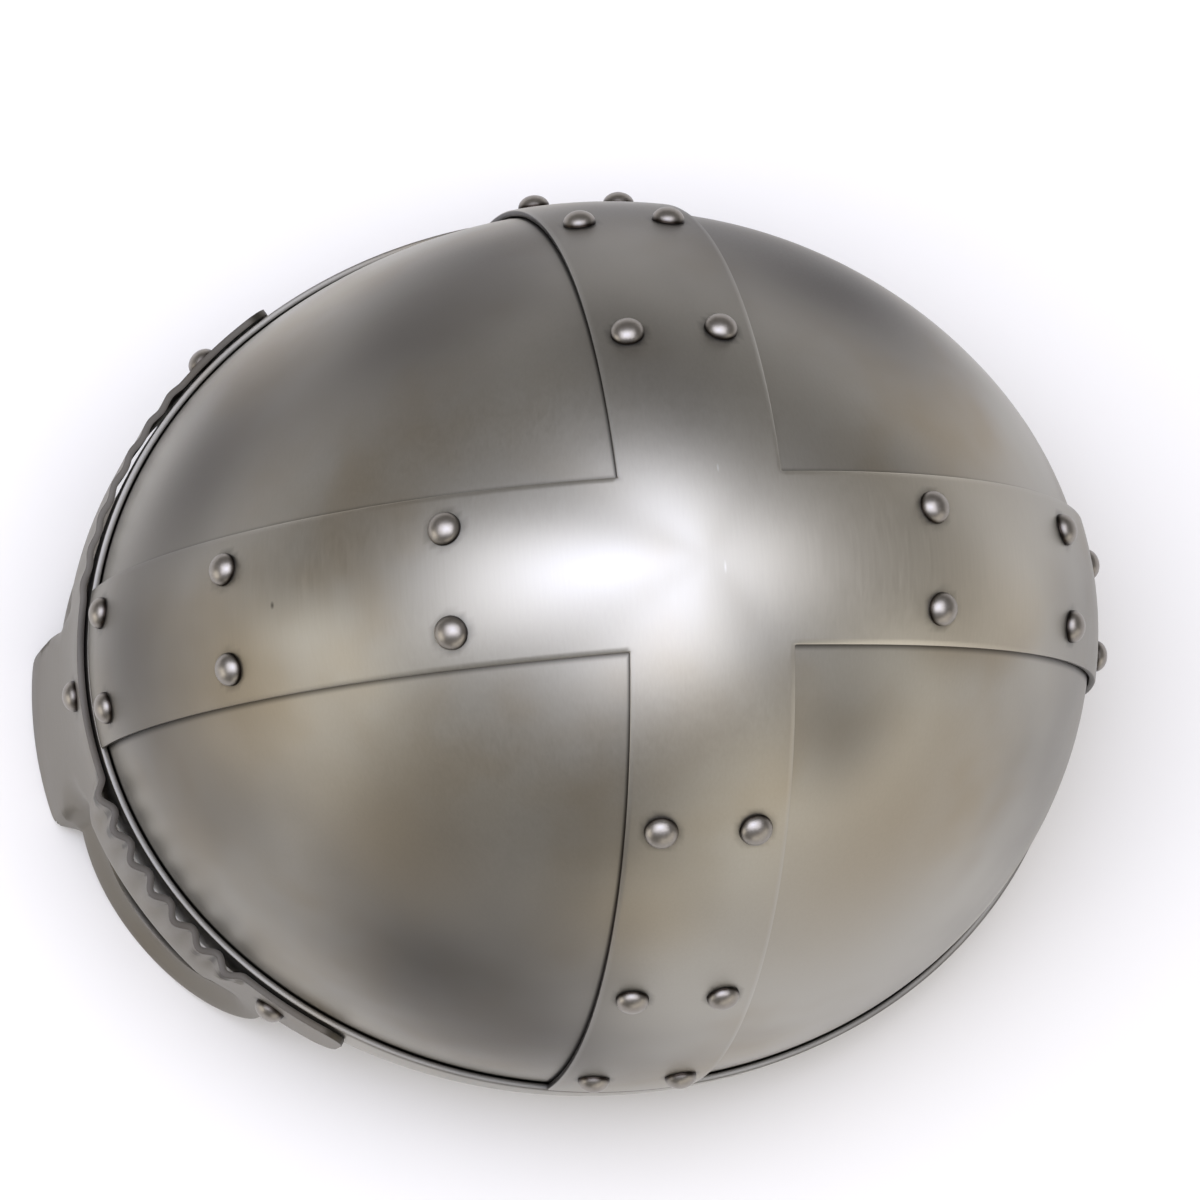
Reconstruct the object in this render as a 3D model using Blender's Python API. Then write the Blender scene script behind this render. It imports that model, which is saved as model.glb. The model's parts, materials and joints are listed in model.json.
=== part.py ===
# Spectacle helmet of the viking pattern, riveted together from steel sheet: four
# skull panels, a one-piece cross over them, a brow band round the rim, and a
# face plate with two eye openings and a nose guard. It stands as it rests on a
# table, tilted back on the lower edge of the face plate and the rear of the rim.
# Metres, +Z up, the face looks along -Y and the wearer's left is +X.

import math

import bmesh
import bpy
import numpy as np
from mathutils import Matrix, Vector

# Skull: the outer face of the panels. Level 0 is where the walls stand upright.
half_length = 0.114
half_width = 0.1002
skull_height = 0.135
back_fullness_ratio = 0.016
back_corner_ratio = 0.0075
arch_front_power = 1.90
arch_back_power = 2.13
arch_side_power = 2.04
arch_corner_power = -0.13
side_taper = 0.0022
end_taper = 0.0008

# Sheet thickness and the clearance between sheets that touch
sheet = 0.0015
clearance = 0.00035

# Panels: how far their lower edges stop above the rim
panel_lift = 0.001

# Brow band: its edges above and below level 0
band_rise = 0.009
band_drop = 0.016

# Cross: widths of its two strips, and how far above the band its arms end
long_strip = 0.0355
side_strip = 0.0338
arm_gap = 0.0006

# Rivets
head_radius = 0.0036
head_height = 0.0028
shoulder_radius = 0.0024
shoulder_height = 0.0021
shank_radius = 0.00175
tail_radius = 0.0028
tail_height = 0.0009
drill_length = 0.012
long_rivet_spacing = 0.0208
side_rivet_spacing = 0.0195
# Places along each arm, as shares of the way from the crown to the brow band
rivet_shares = {
    "front": (0.295, 0.610, 0.925),
    "back": (0.281, 0.560, 0.852),
    "left": (0.326, 0.616, 0.895),
    "right": (0.306, 0.601, 0.888),
}

# Face plate: it was riveted on slid a little towards the wearer's left
plate_shift = 0.0042
plate_top_inset = 0.001
plate_strip_drop = 0.014
temple_length = 0.0264
temple_round = 0.006
temple_rivet_place = 0.0090
nose_rivet_inset = 0.0105

# Eye openings, measured round the plate from its middle and from level 0
eye_place = 0.0485
eye_level = -0.0255
eye_half_width = 0.0265
eye_rise = 0.009
eye_drop = 0.0245
brow_power = 2.3
ring_power = 2.0
ring_width = 0.0085
ring_dish = 0.0026

# Nose guard
nose_start_level = 0.0
nose_root_level = -0.045
nose_tip_level = -0.062
nose_half_width = 0.0180
nose_lean = 0.0042
nose_stand = 0.0046
nose_side = 0.0045
nose_join = 0.0055
nose_corner = 0.0035

# Flutes hammered into the eyebrows, deeper on the left than on the right
flute_start = 0.0195
flute_pitch = 0.0078
flute_count = 7
flute_depth = 0.0014
flute_bias_ratio = 0.57

# Fineness of the facets
panel_rows = 14
panel_columns = 10
strip_columns = 4
arm_rows = 17
band_segments = 72
rivet_sides = 8
hole_sides = 8
plate_rings = 3
ring_cells = 14

steel_rgba = (0.30, 0.28, 0.25, 1.0)
edge_rgba = (0.36, 0.34, 0.31, 1.0)
rivet_rgba = (0.42, 0.39, 0.35, 1.0)

# The panels stop short of the middle planes, clear of the nose rivet's tail
panel_setback = plate_shift + tail_radius + clearance
brow_outer = clearance + sheet


def smooth_step(value, start, end):
    share = min(max((value - start) / (end - start), 0.0), 1.0)
    return share * share * (3 - 2 * share)


def arch_exponent(azimuth):
    sine2 = math.sin(azimuth) ** 2
    cosine = math.cos(azimuth)
    end = arch_front_power if cosine > 0 else arch_back_power
    return arch_side_power * sine2 + (end + arch_corner_power * 4 * sine2) * cosine ** 2


def plan_share(azimuth, level):
    """Size of the plan at a level, as a share of the plan at level 0."""
    if level >= 0:
        power = arch_exponent(azimuth)
        return (1 - min(level / skull_height, 1.0) ** power) ** (1 / power)
    sine2 = math.sin(azimuth) ** 2
    taper = side_taper / half_width * sine2 + end_taper / half_length * (1 - sine2)
    return 1 - taper * (level / band_drop) ** 2


def plan_half_axes(azimuth):
    """Half width and half length that shape the plan at an azimuth."""
    corner = 1.0
    if math.cos(azimuth) < 0:
        corner += back_corner_ratio * math.sin(2 * azimuth) ** 2
    return half_width * corner * (1 - back_fullness_ratio * math.cos(azimuth)), half_length * corner


def skull_point(azimuth, level):
    """Point of the skull; azimuth 0 is the front, a quarter turn the left."""
    share = plan_share(azimuth, level)
    width, length = plan_half_axes(azimuth)
    return Vector((width * math.sin(azimuth) * share, -length * math.cos(azimuth) * share, level))


def azimuth_and_share(x, y):
    """Azimuth of a place in plan, and its distance as a share of the plan's."""
    azimuth = math.atan2(x / half_width, -y / half_length)
    for _ in range(6):
        width, length = plan_half_axes(azimuth)
        azimuth = math.atan2(x / width, -y / length)
    return azimuth, math.hypot(x / width, y / length)


def skull_value(point):
    """Below 0 inside the skull's outer face and above 0 outside it."""
    azimuth, share = azimuth_and_share(point.x, point.y)
    power = arch_exponent(azimuth)
    if point.z >= 0:
        return share ** power + (point.z / skull_height) ** power - 1
    return power * (share - plan_share(azimuth, point.z))


def skull_normal(point):
    step = 2e-5
    slopes = []
    for axis in range(3):
        ahead = point.copy()
        behind = point.copy()
        ahead[axis] += step
        behind[axis] -= step
        slopes.append(skull_value(ahead) - skull_value(behind))
    return Vector(slopes).normalized()


def level_normal(azimuth, level):
    """Outward direction in the level plane, for walls with level edges."""
    normal = skull_normal(skull_point(azimuth, min(level, band_rise)))
    return Vector((normal.x, normal.y, 0)).normalized()


def meridian(azimuth, lowest):
    """Lengths from the crown down a meridian, with the level at each."""
    power = arch_exponent(azimuth)
    rises = [math.sin(math.radians(angle)) ** (2 / power) for angle in range(90, -1, -1)]
    levels = [skull_height * rise for rise in rises]
    levels += [lowest * step / 8 for step in range(1, 9)]
    points = [skull_point(azimuth, level) for level in levels]
    lengths = [0.0]
    for start, end in zip(points, points[1:]):
        lengths.append(lengths[-1] + (end - start).length)
    return lengths, levels


def length_at(level, table):
    return float(np.interp(level, table[1][::-1], table[0][::-1]))


def crown_point(x, y):
    azimuth, share = azimuth_and_share(x, y)
    power = arch_exponent(azimuth)
    return Vector((x, y, skull_height * max(1 - share ** power, 0) ** (1 / power)))


class Sheet:
    """A curved sheet: places with an inner and an outer point, and cells."""

    def __init__(self):
        self.places = {}
        self.cells = []

    def place(self, key, point, normal, inner, outer):
        if key not in self.places:
            self.places[key] = (point + normal * inner, point + normal * outer)
        return key

    def build(self, name, material):
        mesh = bmesh.new()
        keys = list(self.places)
        inner = {key: mesh.verts.new(self.places[key][0]) for key in keys}
        outer = {key: mesh.verts.new(self.places[key][1]) for key in keys}
        edges = {}
        for cell in self.cells:
            loop = [key for i, key in enumerate(cell) if key != cell[i - 1]]
            if len(loop) < 3:
                continue
            mesh.faces.new([outer[key] for key in loop])
            mesh.faces.new([inner[key] for key in reversed(loop)])
            for i, key in enumerate(loop):
                pair = (loop[i - 1], key)
                edges[pair] = edges.get(pair, 0) + 1
        for start, end in edges:
            if (end, start) not in edges:
                mesh.faces.new([inner[start], inner[end], outer[end], outer[start]])
        bmesh.ops.recalc_face_normals(mesh, faces=mesh.faces)
        return add_object(name, mesh, material)


def make_material(name, color, roughness):
    material = bpy.data.materials.new(name)
    material.use_nodes = True
    shader = material.node_tree.nodes["Principled BSDF"]
    shader.inputs["Base Color"].default_value = color
    shader.inputs["Metallic"].default_value = 1.0
    shader.inputs["Roughness"].default_value = roughness
    material.diffuse_color = color
    return material


def add_object(name, mesh, material):
    data = bpy.data.meshes.new(name)
    mesh.to_mesh(data)
    mesh.free()
    piece = bpy.data.objects.new(name, data)
    data.materials.append(material)
    bpy.context.scene.collection.objects.link(piece)
    data.shade_smooth()
    data.set_sharp_from_angle(angle=math.radians(35))
    return piece


def build_panel(name, x_side, y_side, material):
    """One quarter of the skull, between the middle planes of the cross."""
    sheet_piece = Sheet()
    x_edge = x_side * panel_setback
    y_edge = y_side * panel_setback
    peak = crown_point(x_edge, y_edge)
    low = panel_lift - band_drop
    wall_rows = 2
    for row in range(panel_rows + 1):
        if row <= wall_rows:
            level = low + (0 - low) * row / wall_rows
        else:
            turn = (row - wall_rows) / (panel_rows - wall_rows)
            level = peak.z * math.sin(turn * math.pi / 2)
        side_azimuth = edge_azimuth(level, x_edge, y_edge, True)
        end_azimuth = edge_azimuth(level, x_edge, y_edge, False)
        for column in range(panel_columns + 1):
            if row == panel_rows:
                key = (row, 0)
                point = peak
            else:
                share = column / panel_columns
                key = (row, column)
                point = skull_point(side_azimuth + (end_azimuth - side_azimuth) * share, level)
            if level <= 0:
                normal = level_normal(azimuth_and_share(point.x, point.y)[0], level)
            else:
                normal = skull_normal(point)
            sheet_piece.place(key, point, normal, -sheet, 0)
    for row in range(panel_rows):
        for column in range(panel_columns):
            top = [(row + 1, column + 1), (row + 1, column)]
            if row + 1 == panel_rows:
                top = [(panel_rows, 0), (panel_rows, 0)]
            sheet_piece.cells.append([(row, column), (row, column + 1)] + top)
    return sheet_piece.build(name, material)


def edge_azimuth(level, x_edge, y_edge, at_x_edge):
    """Azimuth where a level curve of the skull meets a panel's edge plane."""
    quadrant_start = 0.0 if y_edge < 0 else math.copysign(math.pi, x_edge)
    quadrant_end = math.copysign(math.pi / 2, x_edge)
    for _ in range(48):
        middle = (quadrant_start + quadrant_end) / 2
        point = skull_point(middle, level)
        reach = abs(point.x) - abs(x_edge) if at_x_edge else abs(y_edge) - abs(point.y)
        if reach < 0:
            quadrant_start = middle
        else:
            quadrant_end = middle
    return (quadrant_start + quadrant_end) / 2


def strip_point(azimuth, length, across, table):
    """Point on the skull beside an arm's middle line, square to that line."""
    level = float(np.interp(length, table[0], table[1]))
    middle = skull_point(azimuth, level)
    normal = skull_normal(middle)
    side = Vector((0, 0, 1)).cross(Vector((normal.x, normal.y, 0)))
    side = side.normalized() * across
    low, high = -long_strip, long_strip / 2
    for _ in range(40):
        reach = (low + high) / 2
        if skull_value(middle + side + normal * reach) > 0:
            high = reach
        else:
            low = reach
    return middle + side + normal * low


arms = {
    "front": (0.0, long_strip, side_strip, long_rivet_spacing),
    "back": (math.pi, long_strip, side_strip, long_rivet_spacing),
    "left": (math.pi / 2, side_strip, long_strip, side_rivet_spacing),
    "right": (-math.pi / 2, side_strip, long_strip, side_rivet_spacing),
}


def build_cross(material):
    """One sheet: a square over the crown and four arms down to the brow band."""
    cross = Sheet()
    half_x = long_strip / 2
    half_y = side_strip / 2
    for i in range(strip_columns + 1):
        for j in range(strip_columns + 1):
            x = half_x * (2 * i / strip_columns - 1)
            y = half_y * (2 * j / strip_columns - 1)
            point = crown_point(x, y)
            cross.place(("crown", i, j), point, skull_normal(point), clearance, brow_outer)
    for i in range(strip_columns):
        for j in range(strip_columns):
            cross.cells.append([("crown", i, j), ("crown", i + 1, j),
                                ("crown", i + 1, j + 1), ("crown", i, j + 1)])
    last = strip_columns
    crown_edges = {
        "front": [("crown", i, 0) for i in range(last + 1)],
        "back": [("crown", last - i, last) for i in range(last + 1)],
        "left": [("crown", last, i) for i in range(last + 1)],
        "right": [("crown", 0, last - i) for i in range(last + 1)],
    }
    for arm, (azimuth, width, cross_width, _) in arms.items():
        table = meridian(azimuth, -band_drop)
        reaches = [skull_point(azimuth, level).xy.length for level in table[1]]
        start = float(np.interp(cross_width / 2, reaches, table[0]))
        end = length_at(band_rise + arm_gap, table)
        rows = [crown_edges[arm]]
        for row in range(1, arm_rows + 1):
            length = start + (end - start) * row / arm_rows
            keys = []
            for column in range(last + 1):
                across = width * (column / last - 0.5)
                point = strip_point(azimuth, length, across, table)
                keys.append(cross.place((arm, row, column), point, skull_normal(point),
                                        clearance, brow_outer))
            rows.append(keys)
        for upper, lower in zip(rows, rows[1:]):
            for column in range(last):
                cross.cells.append([lower[column], lower[column + 1],
                                    upper[column + 1], upper[column]])
    return cross.build("cross_band", material)


def build_brow_band(material):
    band = Sheet()
    levels = (-band_drop, -band_drop / 2, 0.0, band_rise)
    for row, level in enumerate(levels):
        for segment in range(band_segments):
            azimuth = 2 * math.pi * segment / band_segments
            band.place((row, segment), skull_point(azimuth, level),
                       level_normal(azimuth, level), clearance, brow_outer)
    for row in range(len(levels) - 1):
        for segment in range(band_segments):
            ahead = (segment + 1) % band_segments
            band.cells.append([(row, segment), (row, ahead),
                               (row + 1, ahead), (row + 1, segment)])
    return band.build("brow_band", material)


def plan_table():
    """Lengths round the skull at level 0 from the front, with the azimuths."""
    azimuths = [math.radians(angle) for angle in range(0, 91)]
    lengths = [0.0]
    for start, end in zip(azimuths, azimuths[1:]):
        lengths.append(lengths[-1] + (skull_point(end, 0) - skull_point(start, 0)).length)
    return lengths, azimuths


round_skull = plan_table()
plate_top = band_rise - plate_top_inset
flute_end = flute_start + flute_count * flute_pitch
plate_half_span = flute_end + temple_length


def flute_lift(place, level):
    """Raised eyebrow: smooth along the eye's edge, waved by flutes towards its top."""
    along = (abs(place) - flute_start) / flute_pitch
    if along < 0 or along > flute_count:
        return 0.0
    depth = flute_depth * (1 + math.copysign(flute_bias_ratio, place))
    fade = smooth_step(level, eye_level, eye_level + eye_rise)
    waved = smooth_step(level, eye_level + eye_rise, plate_top)
    wave = (1 - math.cos(2 * math.pi * along)) / 2
    ridge = smooth_step(along, 0, 1) * smooth_step(flute_count - along, 0, 1)
    return depth * fade * (ridge + (wave - ridge) * waved)


def nose_drift(place, level):
    """Sideways lean of the nose guard towards the wearer's left."""
    return nose_lean * max(1 - abs(place) / eye_place, 0) * nose_share(level)


def nose_share(level):
    return smooth_step(-level, -nose_start_level, -nose_tip_level)


def plate_middle(place, level):
    """Middle of the face plate's sheet; place is measured round the plate."""
    azimuth = plate_azimuth(place)
    stand = brow_outer + clearance + sheet / 2 + flute_lift(place, level)
    from_nose = abs(place - nose_drift(nose_half_width, level))
    on_nose = 1 - smooth_step(from_nose, nose_half_width, nose_half_width + nose_side)
    stand += on_nose * nose_stand * nose_share(level)
    low_edge = eye_drop + ring_width - eye_level
    below_brow = smooth_step(-level, -eye_level - eye_rise, low_edge)
    stand += (1 - on_nose) * plate_shift * math.sin(2 * azimuth) / 2 * below_brow
    stand -= ring_dip(place, level)
    return skull_point(azimuth, 0) + level_normal(azimuth, 0) * stand + Vector((0, 0, level))


def ring_dip(place, level):
    """Depth by which an eye ring is dished in towards the eye, below the brow band."""
    across = abs(place) - eye_place
    drop = level - eye_level
    edge = eye_reach(math.atan2(drop, across))
    near_eye = 1 - smooth_step(math.hypot(across, drop), edge, edge + ring_width)
    clear = band_drop + sheet
    return ring_dish * near_eye * smooth_step(-level, clear, clear + 2 * ring_width)


def plate_azimuth(place):
    length = place + plate_shift
    return math.copysign(float(np.interp(abs(length), *round_skull)), length)


def plate_normal(place, level):
    step = 1e-4
    along = plate_middle(place + step, level) - plate_middle(place - step, level)
    up = plate_middle(place, level + step) - plate_middle(place, level - step)
    return along.cross(up).normalized()


def eye_reach(angle):
    """Distance from an eye's centre to the edge of its opening."""
    half_height = eye_rise if math.sin(angle) > 0 else eye_drop
    power = brow_power if math.sin(angle) > 0 else ring_power
    spread = abs(math.cos(angle) / eye_half_width) ** power
    return (spread + abs(math.sin(angle) / half_height) ** power) ** (-1 / power)


def eye_outer_loop():
    """Points round one eye: brow edge, temple side, ring, nose and middle."""
    far = eye_place + eye_half_width + ring_width
    cells = 4 * flute_count
    top = [flute_start * i / 3 for i in range(3)]
    top += [flute_start + (flute_end - flute_start) * i / cells for i in range(cells + 1)]
    top += [(flute_end + far) / 2]
    loop = [(place, plate_top) for place in top]
    loop += [(far, plate_top + (-plate_strip_drop - plate_top) * i / 3) for i in range(4)]
    junction = -math.pi
    for _ in range(12):
        across = (eye_place - nose_half_width - nose_join) / (eye_reach(junction) + ring_width)
        junction = (junction - math.acos(-across)) / 2
    for i in range(ring_cells + 1):
        angle = junction * i / ring_cells
        reach = eye_reach(angle) + ring_width
        loop.append((eye_place + reach * math.cos(angle), eye_level + reach * math.sin(angle)))
    root = loop[-1]
    loop += [(root[0] * (1 - i / 4), root[1] + (nose_root_level - root[1]) * i / 4)
             for i in range(1, 5)]
    loop += [(0.0, nose_root_level + (plate_top - nose_root_level) * i / 6) for i in range(1, 6)]
    return loop, root


def build_face_plate(material):
    plate = Sheet()

    def put(side, place, level):
        key = (round(side * place, 6), round(level, 6))
        across = side * place + nose_drift(place, level)
        return plate.place(key, plate_middle(across, level), plate_normal(across, level),
                           -sheet / 2, sheet / 2)

    loop, root = eye_outer_loop()
    far = eye_place + eye_half_width + ring_width
    for side in (1, -1):
        rings = []
        for step in range(plate_rings + 1):
            share = step / plate_rings
            keys = []
            for place, level in loop:
                angle = math.atan2(level - eye_level, place - eye_place)
                edge = eye_reach(angle)
                inner_place = eye_place + edge * math.cos(angle)
                inner_level = eye_level + edge * math.sin(angle)
                keys.append(put(side, inner_place + (place - inner_place) * share,
                                inner_level + (level - inner_level) * share))
            rings.append(keys)
        for inner, outer in zip(rings, rings[1:]):
            for i in range(len(loop)):
                add_cell(plate, side, [inner[i], outer[i], outer[i - 1], inner[i - 1]])
        nose_rows = 3
        bottom = nose_bottom()
        roots = [(root[0] * i / 4, nose_root_level + (root[1] - nose_root_level) * i / 4)
                 for i in range(5)]
        rows = [[put(side, a[0] + (b[0] - a[0]) * row / nose_rows,
                     a[1] + (b[1] - a[1]) * row / nose_rows) for a, b in zip(roots, bottom)]
                for row in range(nose_rows + 1)]
        for upper, lower in zip(rows, rows[1:]):
            for i in range(4):
                add_cell(plate, side, [lower[i], lower[i + 1], upper[i + 1], upper[i]])
        columns = []
        for column in range(6):
            share = column / 5
            place = far + (plate_half_span - far) * share
            trim = end_trim(plate_half_span - place)
            columns.append([put(side, place, plate_top - trim
                                + (-plate_strip_drop - plate_top + 2 * trim) * i / 3)
                            for i in range(4)])
        for near, away in zip(columns, columns[1:]):
            for i in range(3):
                add_cell(plate, side, [near[i + 1], away[i + 1], away[i], near[i]])
    return plate.build("face_plate", material)


def add_cell(plate, side, keys):
    plate.cells.append(keys if side > 0 else keys[::-1])


def nose_bottom():
    """The nose guard's lower edge, flat with a rounded corner."""
    flat = nose_half_width - nose_corner
    slope = math.radians(45)
    return [(0.0, nose_tip_level), (flat / 2, nose_tip_level), (flat, nose_tip_level),
            (flat + nose_corner * math.sin(slope),
             nose_tip_level + nose_corner * (1 - math.cos(slope))),
            (nose_half_width, nose_tip_level + nose_corner)]


def end_trim(from_end):
    """How far a rounded temple end draws in from the strip's edges."""
    if from_end >= temple_round:
        return 0.0
    return temple_round - math.sqrt(temple_round ** 2 - (temple_round - from_end) ** 2)


def build_rivet(name, point, normal, seat, tail, material):
    """Domed head on the outermost sheet, shank, and the tail closed inside."""
    profile = [(0.0, seat + head_height),
               (shoulder_radius, seat + shoulder_height),
               (head_radius, seat),
               (shank_radius, seat),
               (shank_radius, tail),
               (tail_radius, tail),
               (0.0, tail - tail_height)]
    mesh = bmesh.new()
    verts = [mesh.verts.new((x, 0, z)) for x, z in profile]
    edges = [mesh.edges.new(pair) for pair in zip(verts, verts[1:])]
    bmesh.ops.spin(mesh, geom=verts + edges, cent=(0, 0, 0), axis=(0, 0, 1),
                   angle=2 * math.pi, steps=rivet_sides, use_merge=True)
    bmesh.ops.remove_doubles(mesh, verts=mesh.verts, dist=1e-6)
    bmesh.ops.recalc_face_normals(mesh, faces=mesh.faces)
    turn = normal.to_track_quat("Z", "X").to_matrix().to_4x4()
    bmesh.ops.transform(mesh, matrix=Matrix.Translation(point) @ turn, verts=mesh.verts)
    return add_object(name, mesh, material)


def build_holes(places):
    """Drills for the rivets' shanks, joined as one hidden cutter."""
    mesh = bmesh.new()
    for point, normal in places:
        turn = normal.to_track_quat("Z", "X").to_matrix().to_4x4()
        bmesh.ops.create_cone(mesh, cap_ends=True, segments=hole_sides,
                              radius1=shank_radius + clearance,
                              radius2=shank_radius + clearance, depth=drill_length,
                              matrix=Matrix.Translation(point) @ turn)
    data = bpy.data.meshes.new("rivet_drills")
    mesh.to_mesh(data)
    mesh.free()
    cutter = bpy.data.objects.new("rivet_drills", data)
    bpy.context.scene.collection.objects.link(cutter)
    cutter.hide_render = True
    cutter.display_type = "WIRE"
    return cutter


def drill(piece, cutter):
    cut = piece.modifiers.new("rivet_holes", "BOOLEAN")
    cut.operation = "DIFFERENCE"
    cut.solver = "EXACT"
    cut.object = cutter


def build_rivets(material):
    """All the rivets, and the places where the sheets are drilled for them."""
    rivets = []
    places = []
    seat = brow_outer + clearance
    tail = -sheet - clearance - facet_dip(panel_rows) - facet_dip(panel_columns)
    for arm, (azimuth, _, _, spacing) in arms.items():
        table = meridian(azimuth, -band_drop)
        reach = length_at(band_rise, table)
        for number, share in enumerate(rivet_shares[arm], start=1):
            for side, hand in ((-1, "a"), (1, "b")):
                point = strip_point(azimuth, reach * share, side * spacing / 2, table)
                normal = skull_normal(point)
                name = f"rivet_{arm}_{number}{hand}"
                rivets.append(build_rivet(name, point, normal, seat, tail, material))
                places.append((point, normal))
    temple = flute_end + temple_rivet_place
    temple_level = (plate_top - plate_strip_drop) / 2
    panel_inside = -sheet - facet_dip(panel_columns)
    band_inside = clearance - facet_dip(band_segments / 4)
    spots = (("rivet_nose", 0.0, plate_top - nose_rivet_inset, band_inside),
             ("rivet_temple_left", temple, temple_level, panel_inside),
             ("rivet_temple_right", -temple, temple_level, panel_inside))
    for name, place, level, inner_face in spots:
        middle = plate_middle(place, level)
        normal = plate_normal(place, level)
        back = (middle - skull_point(plate_azimuth(place), level)).dot(normal)
        rivets.append(build_rivet(name, middle, normal, sheet / 2 + clearance,
                                  inner_face - clearance - back, material))
        places.append((middle - normal * back / 2, normal))
    return rivets, places


def facet_dip(cells):
    """How far facets cut inside an arch of the skull made with so many cells."""
    span = math.pi / 2 * half_length / cells
    return span ** 2 / (8 * min(half_width, half_length ** 2 / skull_height))


def lowest(points, tilt, rear):
    """Lowest height of the front or rear points once tilted about X."""
    chosen = points[points[:, 1] > 0] if rear else points[points[:, 1] < 0]
    return float((chosen[:, 2] * math.cos(tilt) + chosen[:, 1] * math.sin(tilt)).min())


def rest_tilt(points):
    """Tilt that brings the face plate and the rear rim to one floor."""
    low, high = 0.0, -math.radians(40)
    for _ in range(60):
        middle = (low + high) / 2
        if lowest(points, middle, False) < lowest(points, middle, True):
            low = middle
        else:
            high = middle
    return (low + high) / 2


def set_down(pieces):
    """Tilt the helmet as it rests and put the middle of its foot at the origin."""
    points = np.array([tuple(vertex.co) for piece in pieces for vertex in piece.data.vertices])
    tilt = rest_tilt(points)
    turn = Matrix.Rotation(tilt, 3, "X")
    turned = points @ np.array(turn).T
    middle = (turned.min(axis=0) + turned.max(axis=0)) / 2
    helmet = bpy.data.objects.new("helmet", None)
    bpy.context.scene.collection.objects.link(helmet)
    helmet.rotation_euler = (tilt, 0, 0)
    helmet.location = (-middle[0], -middle[1], -turned[:, 2].min())
    return helmet


def build_helmet():
    for old in list(bpy.data.objects):
        bpy.data.objects.remove(old, do_unlink=True)
    steel = make_material("patinated_steel", steel_rgba, 0.42)
    band_steel = make_material("worn_steel", edge_rgba, 0.38)
    rivet_steel = make_material("rivet_steel", rivet_rgba, 0.30)
    panels = [build_panel("panel_front_left", 1, -1, steel),
              build_panel("panel_front_right", -1, -1, steel),
              build_panel("panel_back_left", 1, 1, steel),
              build_panel("panel_back_right", -1, 1, steel)]
    sheets = panels + [build_cross(band_steel), build_brow_band(band_steel),
                       build_face_plate(band_steel)]
    rivets, places = build_rivets(rivet_steel)
    cutter = build_holes(places)
    for piece in sheets:
        drill(piece, cutter)
    helmet = set_down(sheets + rivets)
    for piece in sheets + rivets + [cutter]:
        piece.parent = helmet


build_helmet()
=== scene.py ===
import json
import math
from bisect import bisect_left

import bmesh
import bpy
from mathutils import Matrix, Vector


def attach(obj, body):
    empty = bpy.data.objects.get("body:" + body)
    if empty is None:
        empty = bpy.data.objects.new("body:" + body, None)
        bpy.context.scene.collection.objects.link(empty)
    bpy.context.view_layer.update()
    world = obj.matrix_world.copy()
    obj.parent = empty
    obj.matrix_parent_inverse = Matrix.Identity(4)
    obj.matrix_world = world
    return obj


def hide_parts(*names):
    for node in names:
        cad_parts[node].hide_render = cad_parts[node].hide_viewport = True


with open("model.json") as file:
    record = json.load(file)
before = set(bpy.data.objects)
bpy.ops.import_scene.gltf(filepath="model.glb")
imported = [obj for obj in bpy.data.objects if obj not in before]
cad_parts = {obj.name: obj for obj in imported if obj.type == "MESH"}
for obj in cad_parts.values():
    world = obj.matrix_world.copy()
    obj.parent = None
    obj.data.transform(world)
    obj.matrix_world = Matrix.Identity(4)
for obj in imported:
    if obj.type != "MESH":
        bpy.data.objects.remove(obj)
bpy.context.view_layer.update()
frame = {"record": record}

# The skull's shape, in metres in the helmet's own frame: level 0 is where its
# walls stand upright, -Y is the face and +X the wearer's left
skull = {
    "halfLength": 0.114,
    "halfWidth": 0.1002,
    "height": 0.135,
    "backFullness": 0.016,
    "backCorner": 0.0075,
    "archFront": 1.90,
    "archBack": 2.13,
    "archSide": 2.04,
    "archCorner": -0.13,
    "sideTaper": 0.0022,
    "endTaper": 0.0008,
    "sheet": 0.0015,
    "clearance": 0.00035,
}
band = {
    "rise": 0.009,
    "drop": 0.016,
    "segments": 288,
    "rows": 12,
    "edgeRadius": 0.00035,
}
bandOuter = skull["clearance"] + skull["sheet"]
# How far the searches and slopes below go
search = {
    "azimuthTurns": 5,
    "wallLevels": 8,
    "stripSteps": 26,
    "edgeSteps": 36,
    "joinTurns": 12,
    "slopeStep": 2e-5,
    "plateStep": 1e-4,
}
# How every sheet is welded, rounded and shaded; the angles are in degrees
sheetFinish = {
    "weld": 2e-6,
    "cornerAngle": 50,
    "bevelSegments": 2,
    "wearAndShadingAngle": 20,
    "smoothAngle": 40,
}


def smoothStep(value, start, end):
    share = min(max((value - start) / (end - start), 0.0), 1.0)
    return share * share * (3 - 2 * share)


def tableValue(value, xs, ys):
    if value <= xs[0]:
        return ys[0]
    if value >= xs[-1]:
        return ys[-1]
    i = bisect_left(xs, value)
    share = (value - xs[i - 1]) / (xs[i] - xs[i - 1])
    return ys[i - 1] + (ys[i] - ys[i - 1]) * share


def archExponent(azimuth):
    sine2 = math.sin(azimuth) ** 2
    cosine = math.cos(azimuth)
    end = skull["archFront"] if cosine > 0 else skull["archBack"]
    return skull["archSide"] * sine2 + (end + skull["archCorner"] * 4 * sine2) * cosine ** 2


def planHalfAxes(azimuth):
    corner = 1.0
    if math.cos(azimuth) < 0:
        corner += skull["backCorner"] * math.sin(2 * azimuth) ** 2
    width = skull["halfWidth"] * corner * (1 - skull["backFullness"] * math.cos(azimuth))
    return width, skull["halfLength"] * corner


def planShare(azimuth, level):
    if level >= 0:
        power = archExponent(azimuth)
        return (1 - min(level / skull["height"], 1.0) ** power) ** (1 / power)
    sine2 = math.sin(azimuth) ** 2
    taper = skull["sideTaper"] / skull["halfWidth"] * sine2
    taper += skull["endTaper"] / skull["halfLength"] * (1 - sine2)
    return 1 - taper * (level / band["drop"]) ** 2


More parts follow.
